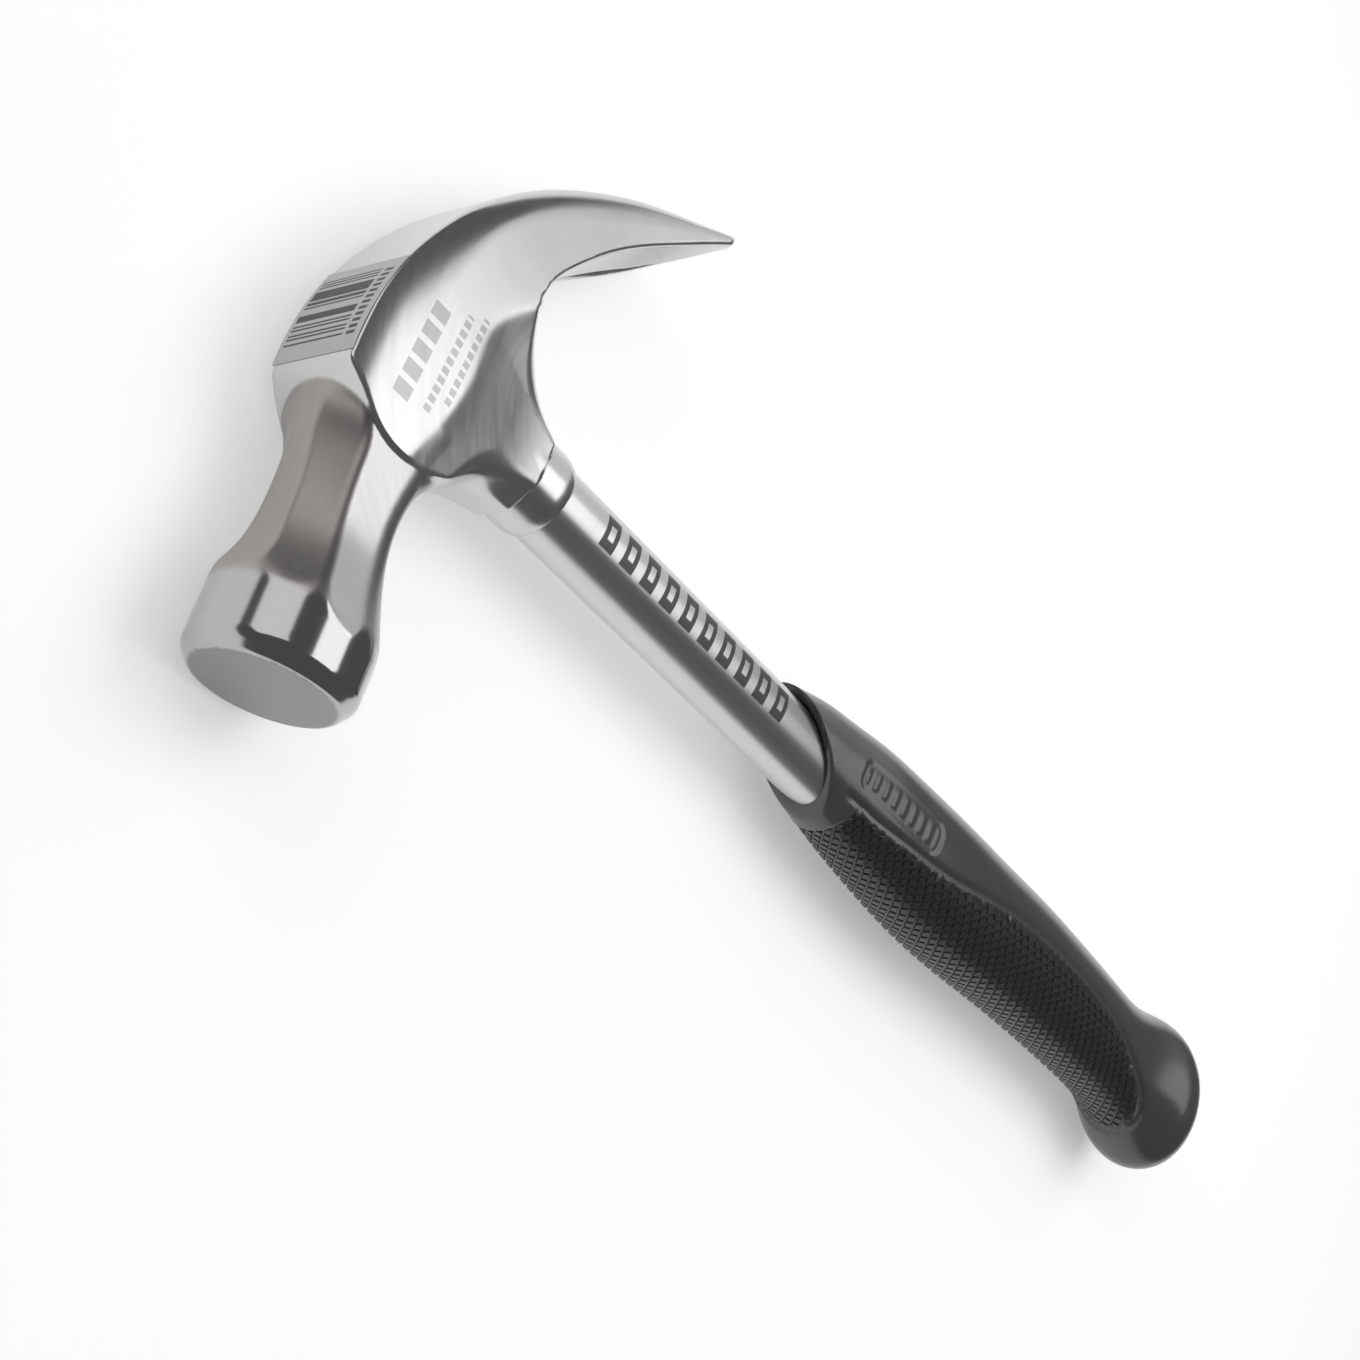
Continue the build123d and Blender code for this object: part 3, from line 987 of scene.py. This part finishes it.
def paper():
    """Coated paper with a made-up bar code."""
    made, tree, shader, place = new_material("label_paper")
    grain = noise(tree, place, 3000, 2.0)
    plain = mix(tree, grain, grey(0.50), grey(0.56))
    x, _, z = node(tree, "SeparateXYZ", Vector=place).outputs
    bar = maths(tree, "FLOOR", maths(tree, "DIVIDE", x, bar_width))
    chance = node(tree, "TexWhiteNoise", {"noise_dimensions": "1D"}, W=bar).outputs[0]
    bars = times(tree, maths(tree, "GREATER_THAN", chance, 0.5), within(tree, x, *bars_x))
    bars = times(tree, bars, within(tree, z, *bars_z))
    row = dashes(tree, x, *dashes_x, dash_pitch, 0.55)
    row = times(tree, row, within(tree, z, *dashes_z))
    ink = maths(tree, "MAXIMUM", bars, row)
    put(tree, shader.inputs["Base Color"], mix(tree, ink, plain, grey(0.06)))
    shader.inputs["Roughness"].default_value = 0.5
    bump(tree, shader, grain, 0.00001)
    return made


def plug_plastic():
    """Dull black plastic."""
    made, tree, shader, place = new_material("plug_plastic")
    grain = noise(tree, place, 1200, 2.0)
    put(tree, shader.inputs["Base Color"], mix(tree, grain, grey(0.02), grey(0.04)))
    put(tree, shader.inputs["Roughness"], spread(tree, grain, 0.3, 0.7, 0.5, 0.6))
    return made


def dress(piece, material):
    """Gives a piece its one material."""
    piece.data.materials.clear()
    piece.data.materials.append(material)


steel = forged_steel()
dress(head, steel)
dress(tube, tube_steel())
dress(grip, rubber())
dress(frame["nodes"]["eye_plug"], steel)
dress(frame["nodes"]["top_label"], paper())
dress(frame["nodes"]["tube_end_plug"], plug_plastic())


# --- stage, light and camera ----------------------------------------------------------------
floor_size = 6.0
floor_glow = 0.35
glow_fade = (0.3, 0.9)          # distance from the hammer's origin over which the glow ends


def floor():
    """A pale floor that glows a little near the hammer, so that its shadow stays soft."""
    mesh = bpy.data.meshes.new("floor")
    corners = [(-1, -1), (1, -1), (1, 1), (-1, 1)]
    points = [(x * floor_size, y * floor_size, floor_height) for x, y in corners]
    mesh.from_pydata(points, [], [(0, 1, 2, 3)])
    made = add_object("floor", mesh)
    material, tree, shader, place = new_material("pale_floor")
    cloud = noise(tree, place, 3, 2.0)
    put(tree, shader.inputs["Base Color"], mix(tree, cloud, grey(0.86), grey(0.88)))
    shader.inputs["Roughness"].default_value = 0.9
    shader.inputs["Specular IOR Level"].default_value = 0.1
    shader.inputs["Emission Color"].default_value = grey(1.0)
    away = node(tree, "VectorMath", {"operation": "LENGTH"})
    put(tree, away.inputs[0], place)
    glow = spread(tree, away.outputs["Value"], *glow_fade, floor_glow, 0.0, smooth=True)
    put(tree, shader.inputs["Emission Strength"], glow)
    mesh.materials.append(material)


def softbox(name, direction, distance, width, height, power, glossy=True):
    """A rectangular light that faces the hammer's head from a direction."""
    light = bpy.data.lights.new(name, "AREA")
    light.shape = "RECTANGLE"
    light.size, light.size_y = width, height
    light.energy = power
    made = add_object(name, light)
    away = Vector(direction).normalized()
    side = Vector((0, 1, 0)).cross(away).normalized()
    stand(made, aim + away * distance, side, away)
    made.visible_glossy = glossy
    made.visible_camera = False


def world():
    """A dim, even surround."""
    made = bpy.data.worlds.new("studio")
    made.use_nodes = True
    background = made.node_tree.nodes["Background"]
    background.inputs["Color"].default_value = grey(1.0)
    background.inputs["Strength"].default_value = 0.12
    bpy.context.scene.world = made


def camera():
    """The camera: where it stands, where it looks and how it is rolled."""
    data = bpy.data.cameras.new("camera")
    data.sensor_width = 36.0
    data.lens = 61.3
    data.clip_start = 0.01
    made = add_object("camera", data)
    place = Vector((-215.81, 231.78, 311.2)) * MM
    target = Vector((-7.4, -53.1, 0.0)) * MM
    back = (place - target).normalized()
    up = Vector((0.8314, 0.5534, 0.0502))
    stand(made, place, up.cross(back).normalized(), back)
    bpy.context.scene.camera = made


aim = Vector(((head_low + head_high) / 2).tolist()) * MM
floor()
world()
softbox("key_box", (0.22, -0.36, 0.91), 1.6, 1.25, 1.07, 7.4)
softbox("top_box", (0.33, 0.78, 0.54), 1.6, 1.2, 1.2, 4.5)
softbox("claw_box", (0.80, -0.45, 0.40), 1.6, 1.42, 0.8, 2.5)
softbox("fill", (0.0, 0.0, 1.0), 2.5, 3.0, 3.0, 26, glossy=False)
camera()
bpy.context.scene.view_settings.view_transform = "Standard"
